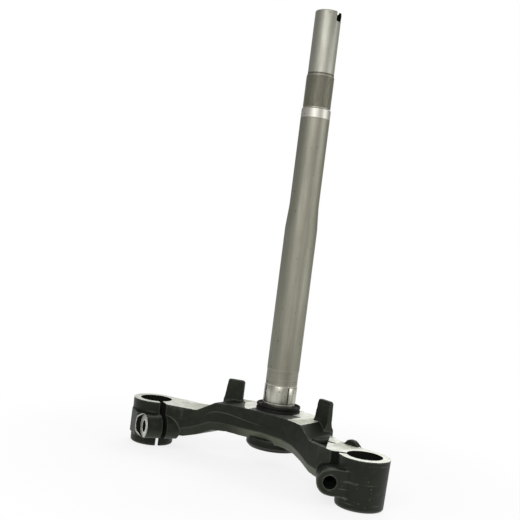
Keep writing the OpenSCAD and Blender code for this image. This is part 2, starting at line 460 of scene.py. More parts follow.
def roughCasting(s):
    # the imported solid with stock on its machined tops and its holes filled
    bm = mergedYoke(s)
    raiseTops(bm, s)
    up, inset, lap = s["stock"], 0.01 * mm, 0.1 * mm
    addCylinder(bm, clampTopFrame(s), s["boreFill"], s["plateau"] + up, s["stemR"] + s["stemFill"])
    addPrism(bm, clampTopFrame(s), s["pocket"], s["pocketFill"], up)
    half = [s["pitFill"] * v for v in s["pitSize"]]  # a little more than half the pit, to fill it
    addBox(bm, pitFrame(s), [-v for v in half], (*half[:2], up))
    deeper, wider = s["tapFill"]
    for side in (-1, 1):
        leg, bolt, slit, face = legFrame(s, side), boltFrame(s, side), slitFrame(s, side), s["face"][side]
        foot = s["clampChamfer"] - s["clampH"]
        addCylinder(bm, leg, foot, 0, s["clampLowR"] - inset, s["clampTopR"] - inset)
        addCylinder(bm, leg, -lap, up, s["clampTopR"])
        addCylinder(bm, leg, -s["clampH"], foot + lap, s["clampLowR"] - s["clampChamfer"], s["clampLowR"])
        rim = face - s["bossChamfer"]
        addCylinder(bm, bolt, lap - s["back"], rim, s["bossR"])
        addCylinder(bm, bolt, rim - lap, face, s["bossR"] - lap, s["bossR"] - s["bossChamfer"])
        addCylinder(bm, bolt, -s["tapDepth"] - deeper, 0, s["tapR"] + wider)
        front = (-s["back"], face) if side > 0 else (-face, s["back"])
        addBox(bm, slit, (s["bossFrom"], front[0] + inset, -s["drop"] - s["bossR"] + inset),
               (s["reach"], front[1] - inset, -s["drop"] + s["bossR"] - inset))
    return newObject("castYoke", bm)


def topCuts(s):
    bm = bmesh.new()
    half, start, ends = s["plateauCut"], s["clampCut"], s["cutEnds"]
    front, back, high = s["cutFront"], s["cutBack"], s["topsHigh"]
    addBox(bm, clampTopFrame(s), (-half, -s["plateauSides"], s["plateau"]),
           (half, s["plateauSides"], s["plateau"] + high))
    addBox(bm, clampTopFrame(s), (-ends, front, 0), (-start, back, high))
    lugLeft, lugRight, lugFront = s["lugCut"]
    aroundLug = [(start, front), (ends, front), (ends, back), (lugRight, back), (lugRight, lugFront),
                 (lugLeft, lugFront), (lugLeft, back), (start, back)]
    addPrism(bm, clampTopFrame(s), aroundLug, 0, high)
    bmesh.ops.recalc_face_normals(bm, faces=bm.faces)
    return newObject("topCuts", bm)


def boreCuts(s):
    bm = bmesh.new()
    reach, sides = s["stemCut"], s["sides"]
    addCylinder(bm, clampTopFrame(s), -reach, reach, s["stemR"] + s["stemClear"], segments=sides["stem"])
    for side in (-1, 1):
        addCylinder(bm, legFrame(s, side), s["cutUnder"], s["cutOver"], s["legR"], segments=sides["leg"])
    return newObject("boreCuts", bm)


def slitCuts(s):
    bm = bmesh.new()
    half = s["slitW"] / 2
    low, high = (s["slitFrom"], -half, s["cutUnder"]), (s["slitTo"], half, s["cutOver"])
    for side in (-1, 1):
        addBox(bm, slitFrame(s, side), low, high)
    return newObject("slitCuts", bm)


def holeCuts(s):
    # both holes end inside the slit
    bm = bmesh.new()
    inSlit, sides = s["inSlit"], s["sides"]
    for side in (-1, 1):
        addCylinder(bm, boltFrame(s, side), inSlit, s["boltCut"], s["holeR"], segments=sides["bolt"])
        addCylinder(bm, boltFrame(s, side), -s["tapDepth"], -inSlit, s["tapR"], segments=sides["tap"])
    return newObject("holeCuts", bm)


def pocketCut(s):
    bm = bmesh.new()
    addPrism(bm, clampTopFrame(s), s["pocket"], -s["pocketDepth"], s["topsHigh"])
    bmesh.ops.recalc_face_normals(bm, faces=bm.faces)
    return newObject("pocketCut", bm)


def pitCut(s):
    bm = bmesh.new()
    length, width, depth = s["pitSize"]
    addBox(bm, pitFrame(s), (-length / 2, -width / 2, -depth), (length / 2, width / 2, s["topsHigh"]))
    return newObject("pitCut", bm)


def spotCut(s):
    bm = bmesh.new()
    floor = s["face"][-1] - s["spotDepth"]
    addCylinder(bm, boltFrame(s, -1), floor, floor + s["spotCut"], s["spotR"])
    return newObject("spotCut", bm)


def nearTree(places):
    tree = KDTree(len(places))
    for i, spot in enumerate(places):
        tree.insert(spot, i)
    tree.balance()
    return tree


def markCreases(yoke, s):
    # how near each point is to an outer edge (ridge) or an inner corner (groove) of the solid
    bm = mergedYoke(s)
    spots = {"ridge": [], "groove": []}
    for edge in bm.edges:
        if len(edge.link_faces) != 2:
            continue
        turn = math.degrees(edge.calc_face_angle_signed(0))
        if -s["grooveAngle"] < turn < s["ridgeAngle"]:
            continue
        a, b = (v.co for v in edge.verts)
        steps = max(1, int((b - a).length / s["creaseStep"]))
        spots["ridge" if turn > 0 else "groove"] += [a.lerp(b, i / steps) for i in range(steps + 1)]
    bm.free()
    for name, places in spots.items():
        tree = nearTree(places)
        near = [max(0.0, 1 - tree.find(v.co)[2] / s["creaseReach"]) for v in yoke.data.vertices]
        yoke.data.attributes.new(name, "FLOAT", "POINT").data.foreach_set("value", near)


def makeYoke(s):
    yoke = roughCasting(s)
    remesh = yoke.modifiers.new("skin", "REMESH")
    remesh.mode = "VOXEL"
    remesh.voxel_size = s["voxel"]
    smooth = yoke.modifiers.new("round", "SMOOTH")
    smooth.factor, smooth.iterations = s["rounding"]
    applyModifiers(yoke)
    thin = yoke.modifiers.new("thin", "DECIMATE")
    thin.ratio = s["keep"]
    applyModifiers(yoke)
    print("casting rounded:", len(yoke.data.polygons), "faces")
    for makeTool in (topCuts, boreCuts, slitCuts, holeCuts, pocketCut, pitCut, spotCut):
        boolean(yoke, makeTool(s), "DIFFERENCE")
    shadeByAngle(yoke, s["shadeAngle"])
    markCreases(yoke, s)
    print("yoke machined:", len(yoke.data.polygons), "faces")
    return yoke


blackSettings = {
    "coat": (0.0042, 0.0052, 0.0036, 1), "coatWorn": (0.0155, 0.0180, 0.0125, 1),
    # next line: edge is a painted highlight colour for edges, corners and the seam
    "scuff": (0.15, 0.15, 0.13, 1), "edge": (0.070, 0.075, 0.062, 1), "rim": (0.42, 0.42, 0.38, 1),
    # next line: a painted shade colour, then a colour for painted light from the floor on faces that look
    # down
    "paintedShade": (0.0012, 0.0014, 0.0012, 1), "dust": (0.125, 0.132, 0.096, 1),
    "darkStrip": (0.020, 0.020, 0.017, 1),
    # the last colour on the next line is a painted highlight for machined edges
    "bare": (0.58, 0.577, 0.520, 1), "bareDark": (0.32, 0.315, 0.27, 1), "edgeHighlight": (0.93, 0.93, 0.90, 1),
    "roughness": (0.36, 0.54), "bareRoughness": 0.46, "recessRoughness": 0.85, "metallic": 0.5,
    "gloss": 0.22, "sheen": (0.86, 0.93, 0.76, 1), "bump": (0.30, 0.10 * mm), "bareBump": 0.2,
    # patterns: scale, detail, where they fade in, and roughness where it isn't the usual one
    "grain": {"Scale": 1500.0, "Coarse": 0.7}, "specks": {"Scale": 420.0, "Size": 0.17, "Share": 0.12},
    "patches": (30.0, 2, 0.48, 0.58), "clouds": (22.0, 3, 0.40, 0.66, 0.6), "mottle": (70.0, 4, 0.50, 0.66),
    "streaks": (1.0, 3, 0.64, 0.70), "streakStretch": (30, 30, 700),
    "milling": (180.0, 2, 0.35, 0.6), "millingStretch": (1, 9, 1),
    "tone": (0.38, 0.66), "ridge": (0.25, 0.85), "ridgeGrain": (0.1, 1.2), "groove": (0.10, 0.80),
    # how far each effect covers what is under it; pairs are away from the clamps and on them
    "wornCover": 0.55, "dustCover": 0.75, "footCover": 0.75, "grooveShade": 0.65, "grooveHighlight": 0.30,
    "ridgeCover": (0.55, 0.90), "seamCover": 0.55, "seamShade": 0.45, "speckCover": 0.6,
    "scratchCover": 0.5, "patchCover": (0.2, 1.0), "rimCover": 0.85, "mottleCover": 0.65,
    "edgeHighlightCover": 0.8, "darkStripCover": 0.93,
    # where the bare metal is, and the ragged line on the plateau that it ends at
    "flatFrom": 61.5 * mm, "flatReach": 0.25 * mm, "flatUp": 0.96,
    "stripFrom": 40 * mm, "pitMargin": 0.5 * mm,
    "plateauEdge": ((0.807, 0.591, 0), -31 * mm), "wobble": 5 * mm, "wobbleScale": 130.0,
    "spotReach": 0.15 * mm, "spotMargin": 0.3 * mm, "spotWall": (0.3 * mm, 9 * mm),
    "rimAway": 0.55 * mm, "rimHalf": 0.5 * mm,
    "darkStripBack": -5 * mm, "darkStripSides": (-16 * mm, 29 * mm),  # dark strip on the plateau in front of the seal
    # painted shade: dark insides of holes, slits and pocket
    "skin": 0.06 * mm, "holeEnds": (1 * mm, 2 * mm), "slitDark": (5 * mm, 40 * mm),
    "pocketFrom": 0.2 * mm, "pocketSides": (60 * mm, 82 * mm), "pocketUp": 0.5,
    # painted light from the floor on faces that look down, full on the right and thin on the left
    "dustTilt": (0.52, 0.74), "dustFrom": (-36 * mm, -8 * mm), "dustLeft": 0.14,
    "footUnder": -18.0 * mm, "footSides": 30 * mm,  # painted shade: the round boss under the bridge stays darker
    "clampInner": 92 * mm,
    "seam": [  # faint mould seam on the front face, as place along the bridge and height over the clamp tops
        (along * mm, height * mm) for along, height in (
            (-54.9, -4.5), (-51.9, -1.8), (-47.9, 0.4), (-43.7, 1.2), (-40.2, 1.1), (-32.9, 0.6),
            (-24.2, -1.0), (-14.3, -2.0), (-3.5, -2.9), (5.8, -4.4))
    ],
    "seamFront": -24 * mm, "seamWidth": 0.45 * mm,
    "seamRise": 10 * mm,  # height that the curve node spans either way
    "shadeAt": 2.4, "shadeWidth": 1.2,  # the painted shade line under the seam, in widths of the seam
    "seamFade": (0.12, 0.55),
}


def flatAt(tree, height, up, level, s):
    return times(tree, nearTo(tree, height, level, s["flatReach"]), above(tree, up, s["flatUp"]))


def inPit(tree, place, cast, grow):
    # a mask around the small pit in the right arm
    pit = pitFrame(cast)
    masks = []
    for axis, size in zip((Vector((1, 0, 0)), Vector((0, 1, 0))), cast["pitSize"]):
        offset = alongAxis(tree, place, pit.to_3x3() @ axis, pit.translation)
        masks.append(below(tree, absolute(tree, offset), size / 2 + grow))
    return times(tree, *masks)


def insideMasks(tree, place, cast, s):
    # walls of the leg bores, bolt holes and slits, which get painted shade
    skin = s["skin"]
    masks = []
    for side in (-1, 1):
        masks.append(below(tree, readAxis(tree, place, legFrame(cast, side))[1], cast["legR"] + skin))
        depth, away = readAxis(tree, place, boltFrame(cast, side))
        low, high = -cast["tapDepth"] - s["holeEnds"][0], cast["face"][side] + s["holeEnds"][1]
        masks.append(times(tree, below(tree, away, cast["holeR"] + skin), within(tree, depth, low, high)))
        slit = slitFrame(cast, side)
        out, across = (alongAxis(tree, place, slit.to_3x3() @ Vector(axis), slit.translation)
                       for axis in ((1, 0, 0), (0, 1, 0)))
        masks.append(times(tree, below(tree, absolute(tree, across), cast["slitW"] / 2 + skin),
                           within(tree, out, *s["slitDark"])))
    return masks


def castMasks(tree, place, cast, s):
    x, y, z = axesOf(tree, place)
    up = axesOf(tree, newNode(tree, "NewGeometry", {}).outputs["True Normal"])[2]
    clampTop = -cast["datum"]

    # machined clamp tops, but not the strip in front of the right pocket
    (x0, y0), (x1, y1) = cast["pocket"][1:]
    strip = alongAxis(tree, place, Vector((y1 - y0, x0 - x1, 0)).normalized(), Vector((x0, y0, 0)))
    coated = either(tree, times(tree, above(tree, strip, 0.0), above(tree, x, s["stripFrom"])),
                    inPit(tree, place, cast, s["pitMargin"]))
    flats = times(tree, flatAt(tree, z, up, clampTop, s), above(tree, absolute(tree, x), s["flatFrom"]),
                  inverse(tree, coated))

    # machined plateau, and the dirt on it in front of the seal
    wobble = scaled(tree, noiseNode(tree, place, s["wobbleScale"]), -s["wobble"] / 2, s["wobble"] / 2)
    ragged = plus(tree, vectorNode(tree, "DOT_PRODUCT", place, s["plateauEdge"][0]), wobble)
    plateau = times(tree, flatAt(tree, z, up, clampTop + cast["plateau"], s),
                    # machined plateau, and a darker strip on it in front of the seal
                    above(tree, ragged, s["plateauEdge"][1]))
    darkStrip = times(tree, plateau, below(tree, plus(tree, y, wobble), s["darkStripBack"]),
                  within(tree, plus(tree, x, wobble), *s["darkStripSides"]))

    # left spot face: bare floor, light rim and a painted shade line between them
    depth, away = readAxis(tree, place, boltFrame(cast, -1), cast["face"][-1] - cast["spotDepth"])
    spotFace = times(tree, nearTo(tree, depth, 0.0, s["spotReach"]),
                     below(tree, away, cast["spotR"] + s["spotMargin"]))
    wall = within(tree, depth, *s["spotWall"])
    rim = times(tree, wall, nearTo(tree, away, cast["spotR"] + s["rimAway"], s["rimHalf"]))

    # painted shade: everything dark inside
    dark = [times(tree, wall, nearTo(tree, away, cast["spotR"], s["skin"]))]
    dark += insideMasks(tree, place, cast, s)
    sunk = within(tree, z, clampTop - cast["pocketDepth"] - s["skin"], clampTop - s["pocketFrom"])
    dark.append(times(tree, sunk, within(tree, x, *s["pocketSides"]), above(tree, up, s["pocketUp"])))
    dark.append(inPit(tree, place, cast, s["skin"]))

    # painted floor light on faces that look down, without the boss under the bridge
    beside = absolute(tree, x)
    foot = times(tree, below(tree, z, clampTop + s["footUnder"]), below(tree, beside, s["footSides"]))
    low = fade(tree, scaled(tree, up, 0.5, 0.0), *s["dustTilt"])
    low = times(tree, low, scaled(tree, spread(tree, x, *s["dustFrom"]), s["dustLeft"], 1.0),
                inverse(tree, foot))
    return {
        "bare": either(tree, flats, plateau, spotFace), "rim": rim, "darkStrip": darkStrip,
        "dark": times(tree, either(tree, *dark), inverse(tree, spotFace)),
        "low": low, "foot": foot, "clamps": above(tree, beside, s["clampInner"]),
    }


def seamLine(tree, place, cast, s):
    # a painted highlight line with a painted shade line under it, along the curve through the seam's points
    x, y, z = axesOf(tree, place)
    start, end, rise = s["seam"][0][0], s["seam"][-1][0], s["seamRise"]
    curve = newNode(tree, "FloatCurve", {})
    points = curve.mapping.curves[0].points
    spots = [((along - start) / (end - start), 0.5 + height / (2 * rise)) for along, height in s["seam"]]
    points[0].location = spots[0]
    points[len(points) - 1].location = spots[-1]
    for spot in spots[1:-1]:
        points.new(*spot)
    curve.mapping.update()
    share = mathNode(tree, "DIVIDE", minus(tree, x, start), end - start)
    link(tree, share, curve.inputs["Value"])
    over = minus(tree, z, scaled(tree, curve.outputs[0], -rise - cast["datum"], rise - cast["datum"]))
    full, going = s["seamFade"]
    black, white = (0, 0, 0), (1, 1, 1)
    strength = rampNode(tree, share, [(0.0, black), (full, white), (going, white), (1.0, black)])
    here = times(tree, below(tree, y, s["seamFront"]), within(tree, share, 0.0, 1.0), strength)
    width = s["seamWidth"]
    light = nearTo(tree, over, 0.0, width)
    shade = nearTo(tree, over, -s["shadeAt"] * width, s["shadeWidth"] * width)
    return times(tree, here, light), times(tree, here, shade)


def coatColour(tree, place, masks, grain, ridge, seam, shade, s):
    clamps, rest = masks["clamps"], inverse(tree, masks["clamps"])
    specks = useGroup(tree, speckGroup, place, s["specks"])["Mask"]
    patches = times(tree, blotches(tree, place, *s["patches"]), scaled(tree, clamps, *s["patchCover"]))
    streaks = blotches(tree, stretched(tree, place, s["streakStretch"]), *s["streaks"])
    worn = either(tree, fade(tree, grain["Tone"], *s["tone"]), blotches(tree, place, *s["clouds"]))
    groove = fade(tree, attributeOf(tree, "groove"), *s["groove"])
    layers = [  # mask, colour, from the coat upwards
        # painted light from the floor on faces that look down
        (times(tree, masks["low"], s["dustCover"]), "dust"),
        # painted shade on the boss under the bridge
        (times(tree, masks["foot"], s["footCover"]), "paintedShade"),
        # painted shade along inner corners on the clamps
        (times(tree, groove, clamps, s["grooveShade"]), "paintedShade"),
        # painted highlight along inner corners away from the clamps
        (times(tree, groove, rest, s["grooveHighlight"]), "edge"),
        # painted highlight on outer edges, stronger on the clamps
        (times(tree, ridge, scaled(tree, clamps, *s["ridgeCover"])), "edge"),
        # painted highlight along the mould seam, then painted shade under it
        (times(tree, seam, s["seamCover"]), "edge"),
        (times(tree, shade, s["seamShade"]), "paintedShade"),
        (times(tree, specks, patches, s["speckCover"]), "scuff"),
        (times(tree, streaks, patches, s["scratchCover"]), "scuff"),
        (times(tree, masks["rim"], s["rimCover"]), "rim"),
        # painted shade inside holes, slits, the pocket and the pit
        (masks["dark"], "paintedShade"),
    ]
    coat = mixColour(tree, times(tree, worn, s["wornCover"]), s["coat"], s["coatWorn"])
    for mask, colour in layers:
        coat = mixColour(tree, mask, coat, s[colour])
    return coat


def bareColour(tree, place, masks, ridge, s):
    milled = blotches(tree, stretched(tree, place, s["millingStretch"]), *s["milling"])
    metal = mixColour(tree, milled, s["bareDark"], s["bare"])
    mottle = times(tree, blotches(tree, place, *s["mottle"]), s["mottleCover"])
    metal = mixColour(tree, mottle, metal, s["bareDark"])
    # painted highlight along the edges of the machined metal
    metal = mixColour(tree, times(tree, ridge, s["edgeHighlightCover"]), metal, s["edgeHighlight"])
    return mixColour(tree, times(tree, masks["darkStrip"], s["darkStripCover"]), metal, s["darkStrip"])


def blackCast(s, cast):
    material, tree, shader, place = newMaterial("blackCast")
    masks = castMasks(tree, place, cast, s)
    bare, darkStrip = masks["bare"], masks["darkStrip"]
    grain = useGroup(tree, grainGroup, place, s["grain"])
    # painted highlight along outer edges
    ridge = fade(tree, attributeOf(tree, "ridge"), *s["ridge"])
    ridge = times(tree, ridge, scaled(tree, grain["Tone"], *s["ridgeGrain"]))
    seam, shade = seamLine(tree, place, cast, s)
    coat = coatColour(tree, place, masks, grain, ridge, seam, shade, s)
    metal = bareColour(tree, place, masks, ridge, s)
    rough = scaled(tree, grain["Tone"], *s["roughness"])
    rough = mixColour(tree, either(tree, masks["dark"], darkStrip), rough, (s["recessRoughness"],) * 3 + (1,))
    rough = mixColour(tree, bare, rough, (s["bareRoughness"],) * 3 + (1,))
    setInputs(tree, shader, {
        "Base Color": mixColour(tree, bare, coat, metal), "Roughness": rough,
        "Metallic": times(tree, bare, inverse(tree, darkStrip), s["metallic"]),
        "Specular IOR Level": s["gloss"], "Specular Tint": s["sheen"],
    })
    height = plus(tree, times(tree, grain["Height"], scaled(tree, bare, 1.0, s["bareBump"])), seam)
    bumpInto(tree, shader, height, *s["bump"])
    return material


yoke = makeYoke(yokeSettings)
yoke.data.materials.clear()
yoke.data.materials.append(blackCast(blackSettings, yokeSettings))
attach(yoke, "root")
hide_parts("yoke")
print("yoke done")


# steering stem: turned profile, screw thread, notch and seat grooves

stemSettings = {
    "datum": 25.25 * mm,
    "footR": 15.0 * mm, "seatR": 15.2 * mm, "upperR": 13.6 * mm, "crestR": 13.0 * mm, "rootR": 12.42 * mm,
    "endR": 12.2 * mm, "boreR": 9.5 * mm, "segments": 144, "shadeAngle": 30,
    # heights over the clamp tops
    "low": -22 * mm, "seatLow": 17.5 * mm, "seatTop": 33 * mm, "reliefTop": 48 * mm,
    "swageLow": 179 * mm, "swageTop": 203 * mm, "bandLow": 282 * mm,
    "threadLow": 291.5 * mm, "threadTop": 323 * mm, "top": 381.5 * mm,
    "notchW": 7 * mm, "notchH": 9 * mm,
    "grooveTurns": (-28.5, 61.5, 151.5, 241.5), "grooveW": 1.7 * mm, "grooveDeep": 0.6 * mm,
    # how far the cutters reach, and where the grooves start over the seat's foot
    "notchOut": 20 * mm, "notchOver": 5 * mm, "notchSides": 48,
    "grooveOut": 2 * mm, "grooveOver": 3 * mm, "grooveStart": 0.2 * mm,
    # thread: its ridge, in steps to a turn, and the room left free at its ends
    "pitch": 1.0 * mm, "steps": 56, "ridgeHalf": 0.44 * mm, "crestHalf": 0.07 * mm,
    "sunk": 0.06 * mm, "crestDown": 0.04 * mm, "threadFree": (0.4 * mm, 1.5 * mm), "runOut": 0.6 * mm,
}


def stemProfile(s):
    low, top, seatLow, seatTop, relief = s["low"], s["top"], s["seatLow"], s["seatTop"], s["reliefTop"]
    swageLow, swageTop, band = s["swageLow"], s["swageTop"], s["bandLow"]
    threadLow, threadTop = s["threadLow"], s["threadTop"]
    foot, seat, upper, root, end, bore = (
        s[name] for name in ("footR", "seatR", "upperR", "rootR", "endR", "boreR"))
    corners = [
        # foot
        (bore + 0.8 * mm, low), (foot - 1.0 * mm, low), (foot - 0.3 * mm, low + 0.3 * mm),
        (foot, low + 1 * mm),
        # bearing seat
        (foot, seatLow - 0.2 * mm), (seat - 0.06 * mm, seatLow - 0.04 * mm), (seat, seatLow + 0.1 * mm),
        (seat, seatTop - 0.35 * mm), (seat - 0.12 * mm, seatTop - 0.05 * mm),
        # turned relief above it
        (foot - 0.25 * mm, seatTop + 0.4 * mm), (foot - 0.25 * mm, relief - 1.0 * mm),
        (foot - 0.05 * mm, relief - 0.4 * mm), (foot, relief + 0.4 * mm),
        # lower shaft, swaged cone and upper shaft
        (foot, swageLow - 2 * mm), (foot - 0.05 * mm, swageLow + 1.5 * mm),
        (foot - 0.62 * mm, swageLow + 10 * mm), (upper + 0.08 * mm, swageTop - 3 * mm),
        (upper, swageTop + 2 * mm),
        # fine groove, then the ground band
        (upper, band - 0.35 * mm), (upper - 0.12 * mm, band - 0.15 * mm),
        (upper - 0.12 * mm, band + 0.1 * mm), (upper, band + 0.3 * mm),
        (upper, threadLow - 1.0 * mm), (upper - 0.35 * mm, threadLow - 0.5 * mm),
        # core of the thread and the plain end
        (root, threadLow + 0.15 * mm), (root, threadTop - 0.3 * mm), (end, threadTop),
        (end, top - 1.3 * mm), (end - 0.35 * mm, top - 0.45 * mm), (end - 1.1 * mm, top),
        # down the bore
        (bore + 0.5 * mm, top), (bore + 0.1 * mm, top - 0.2 * mm), (bore, top - 0.7 * mm),
        (bore, low + 0.8 * mm),
    ]
    return [(r, z - s["datum"]) for r, z in corners]


def stemCutters(s):
    # notch with a round bottom, and the grooves of the seat
    datum, half, beyond = s["datum"], s["notchW"] / 2, s["notchOut"]
    floor = s["top"] - s["notchH"] + half - datum
    bm = bmesh.new()
    addBox(bm, Matrix(), (0, -half, floor), (beyond, half, s["top"] + s["notchOver"] - datum))
    notch = newObject("notchCut", bm)
    bm = bmesh.new()
    lay = Matrix.Translation((0, 0, floor)) @ Matrix.Rotation(math.radians(90), 4, "Y")
    addCylinder(bm, lay, 0, beyond, half, segments=s["notchSides"])
    notchFoot = newObject("notchFootCut", bm)
    bm = bmesh.new()
    half = s["grooveW"] / 2
    low, high = s["seatLow"] + s["grooveStart"] - datum, s["seatTop"] + s["grooveOver"] - datum
    for turn in s["grooveTurns"]:
        spin = Matrix.Rotation(math.radians(turn), 4, "Z")
        addBox(bm, spin, (s["seatR"] - s["grooveDeep"], -half, low),
               (s["seatR"] + s["grooveOut"], half, high))
    return notch, notchFoot, newObject("grooveCuts", bm)


def makeThread(s):
    # one sharp ridge swept up a helix, its foot sunk in the core
    low = s["threadLow"] + s["threadFree"][0] - s["datum"]
    high = s["threadTop"] - s["threadFree"][1] - s["datum"]
    half, crestHalf = s["ridgeHalf"], s["crestHalf"]
    core, crest = s["rootR"] - s["sunk"], s["crestR"] - s["crestDown"]
    turns = (high - low) / s["pitch"]
    steps = int(turns * s["steps"])
    bm = bmesh.new()
    corners = [(core, -half), (crest, -crestHalf), (crest, crestHalf), (core, half)]
    verts = [bm.verts.new((r, 0, low + z)) for r, z in corners]
    face = bm.faces.new(verts)
    bmesh.ops.spin(bm, geom=verts + face.edges[:] + [face], axis=(0, 0, 1), cent=(0, 0, 0),
                   dvec=(0, 0, (high - low) / steps), angle=2 * math.pi * turns, steps=steps)
    bmesh.ops.remove_doubles(bm, verts=bm.verts, dist=tiny)
    openEdges = [e for e in bm.edges if len(e.link_faces) == 1]
    if openEdges:
        bmesh.ops.holes_fill(bm, edges=openEdges, sides=0)
    # the ridge sinks into the core at both ends
    for v in bm.verts:
        r = math.hypot(v.co.x, v.co.y)
        edge = min(v.co.z - low + half, high + half - v.co.z)
        if edge < s["runOut"] and r > core:
            sink = core + (r - core) * max(edge, 0) / s["runOut"]
            v.co.x *= sink / r
            v.co.y *= sink / r
    bmesh.ops.recalc_face_normals(bm, faces=bm.faces)
    return newObject("stemThread", bm)


steelSettings = {
    "zones": [  # millimetres over the clamp tops where each zone of the stem starts, and its colour; the thin dark zones at the seat's top and at both ends of the thread are painted shade at the steps
        (-22, (0.16, 0.155, 0.13)), (15.3, (0.54, 0.53, 0.46)), (32.5, (0.06, 0.056, 0.042)),
        (33.4, (0.29, 0.282, 0.232)), (47.5, (0.250, 0.246, 0.198)), (281.7, (0.50, 0.49, 0.44)),
        (290.6, (0.10, 0.095, 0.072)), (291.8, (0.275, 0.267, 0.215)), (322.1, (0.115, 0.11, 0.085)),
        (323.4, (0.385, 0.38, 0.328)),
    ],
    "roughness": [
        (-22, 0.5), (15.3, 0.36), (33.2, 0.50), (47.5, 0.58), (281.7, 0.52), (291.0, 0.60), (322.8, 0.56),
    ],
    "span": 410 * mm,  # length of stem that the zones' ramp spans
    # inside on the next line is painted shade for the bore and the notch
    "inside": (0.006, 0.006, 0.005, 1), "stain": (0.165, 0.16, 0.125, 1), "shine": (0.50, 0.49, 0.44, 1),
    "pit": (0.075, 0.068, 0.05, 1), "insideRoughness": 0.9, "metallic": 1.0, "bump": (0.22, 0.05 * mm),
    # patterns: how each is stretched, then its detail and where it fades in
    "grain": {"Scale": 1100.0, "Coarse": 1.0}, "pits": {"Scale": 270.0, "Size": 0.19, "Share": 0.13},
    "turning": (1.0, 2), "clouding": (1.0, 5, 0.62),
    "turningStretch": (8, 8, 2600), "ringStretch": (12, 12, 760), "drawnStretch": (420, 420, 12),
    "cloudStretch": (60, 60, 16), "pressedStretch": (210, 210, 9),
    "rings": (1.0, 2, 0.45, 0.62), "drawn": (1.0, 4, 0.5, 0.75), "pressed": (1.0, 3, 0.46, 0.62),
    "cloud": (0.42, 0.72), "cloudRoughness": 0.12,
    # how far each effect covers the colour; the turning marks elsewhere and on the relief
    "cloudCover": 0.40, "drawnCover": 0.22, "ringCover": (0.06, 0.38), "pressedCover": 0.5,
    "pitCover": 0.6, "grooveCover": 0.85, "turningBump": 0.6, "grainBump": 0.5,
    "grooveMargin": 0.2 * mm, "boreSkin": 0.08 * mm, "notchSkin": 0.05 * mm, "notchUnder": 0.1 * mm,
}


def stemZones(tree, z, s, stem):
    # colour and roughness of each zone, from ramps up the stem
    share = mathNode(tree, "DIVIDE", plus(tree, z, stem["datum"] - stem["low"]), s["span"])
    colours = [((at * mm - stem["low"]) / s["span"], colour) for at, colour in s["zones"]]
    roughs = [((at * mm - stem["low"]) / s["span"], (value,) * 3) for at, value in s["roughness"]]
    return rampNode(tree, share, colours, "CONSTANT"), rampNode(tree, share, roughs, "CONSTANT")


def drawnSteel(s, stem):
    material, tree, shader, place = newMaterial("drawnSteel")
    x, y, z = axesOf(tree, place)
    datum = stem["datum"]
    colour, rough = stemZones(tree, z, s, stem)
    grain = useGroup(tree, grainGroup, place, s["grain"])
    pits = useGroup(tree, speckGroup, place, s["pits"])["Mask"]
    turned = noiseNode(tree, stretched(tree, place, s["turningStretch"]), *s["turning"])
    cloud = noiseNode(tree, stretched(tree, place, s["cloudStretch"]), *s["clouding"])
    rings = blotches(tree, stretched(tree, place, s["ringStretch"]), *s["rings"])
    drawn = blotches(tree, stretched(tree, place, s["drawnStretch"]), *s["drawn"])
    pressed = blotches(tree, stretched(tree, place, s["pressedStretch"]), *s["pressed"])
    relief = within(tree, z, stem["seatTop"] - datum, stem["reliefTop"] - datum)
    seated = within(tree, z, stem["seatLow"] - datum, stem["seatTop"] - datum)
    fromAxis = vectorNode(tree, "LENGTH", stretched(tree, place, (1, 1, 0)), (0, 0, 0))
    grooved = times(tree, below(tree, fromAxis, stem["seatR"] - s["grooveMargin"]), seated)
    layers = [  # mask, colour, from the zones upwards
        (times(tree, fade(tree, cloud, *s["cloud"]), s["cloudCover"]), "stain"),
        (times(tree, drawn, s["drawnCover"]), "shine"),
        (times(tree, rings, scaled(tree, relief, *s["ringCover"])), "stain"),
        (times(tree, pressed, seated, s["pressedCover"]), "stain"),
        (times(tree, pits, s["pitCover"]), "pit"),
        # painted shade in the seat grooves
        (times(tree, grooved, s["grooveCover"]), "pit"),
    ]
    for mask, name in layers:
        colour = mixColour(tree, mask, colour, s[name])
    # painted shade: near black inside the bore and the notch
    bored = below(tree, fromAxis, stem["boreR"] + s["boreSkin"])
    notchFloor = stem["top"] - stem["notchH"] - s["notchUnder"] - datum
    notched = times(tree, below(tree, absolute(tree, y), stem["notchW"] / 2 + s["notchSkin"]),
                    above(tree, x, 0.0), above(tree, z, notchFloor))
    inside = either(tree, bored, notched)
    rough = plus(tree, rough, scaled(tree, cloud, -s["cloudRoughness"], s["cloudRoughness"]))
    setInputs(tree, shader, {
        "Base Color": mixColour(tree, inside, colour, s["inside"]), "Metallic": s["metallic"],
        "Roughness": either(tree, rough, times(tree, inside, s["insideRoughness"])),
    })
    height = plus(tree, times(tree, turned, s["turningBump"]), times(tree, grain["Height"], s["grainBump"]))
    bumpInto(tree, shader, minus(tree, height, pits), *s["bump"])
    return material


stem = spinProfile("stemTube", stemProfile(stemSettings), stemSettings["segments"])
for tool in stemCutters(stemSettings):
    boolean(stem, tool, "DIFFERENCE")
thread = makeThread(stemSettings)
steel = drawnSteel(steelSettings, stemSettings)
for piece in (stem, thread):
    shadeByAngle(piece, stemSettings["shadeAngle"])
    piece.data.materials.clear()
    piece.data.materials.append(steel)
    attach(piece, "root")
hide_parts("steering_stem")
print("stem done")


# dust seal: a moulded ring with a lip

sealSettings = {
    "datum": 25.25 * mm, "plateau": 9.5 * mm, "height": 5.9 * mm, "outerR": 20.5 * mm, "innerR": 15.0 * mm,
    "clear": 0.02 * mm, "segments": 128, "shadeAngle": 40,
}


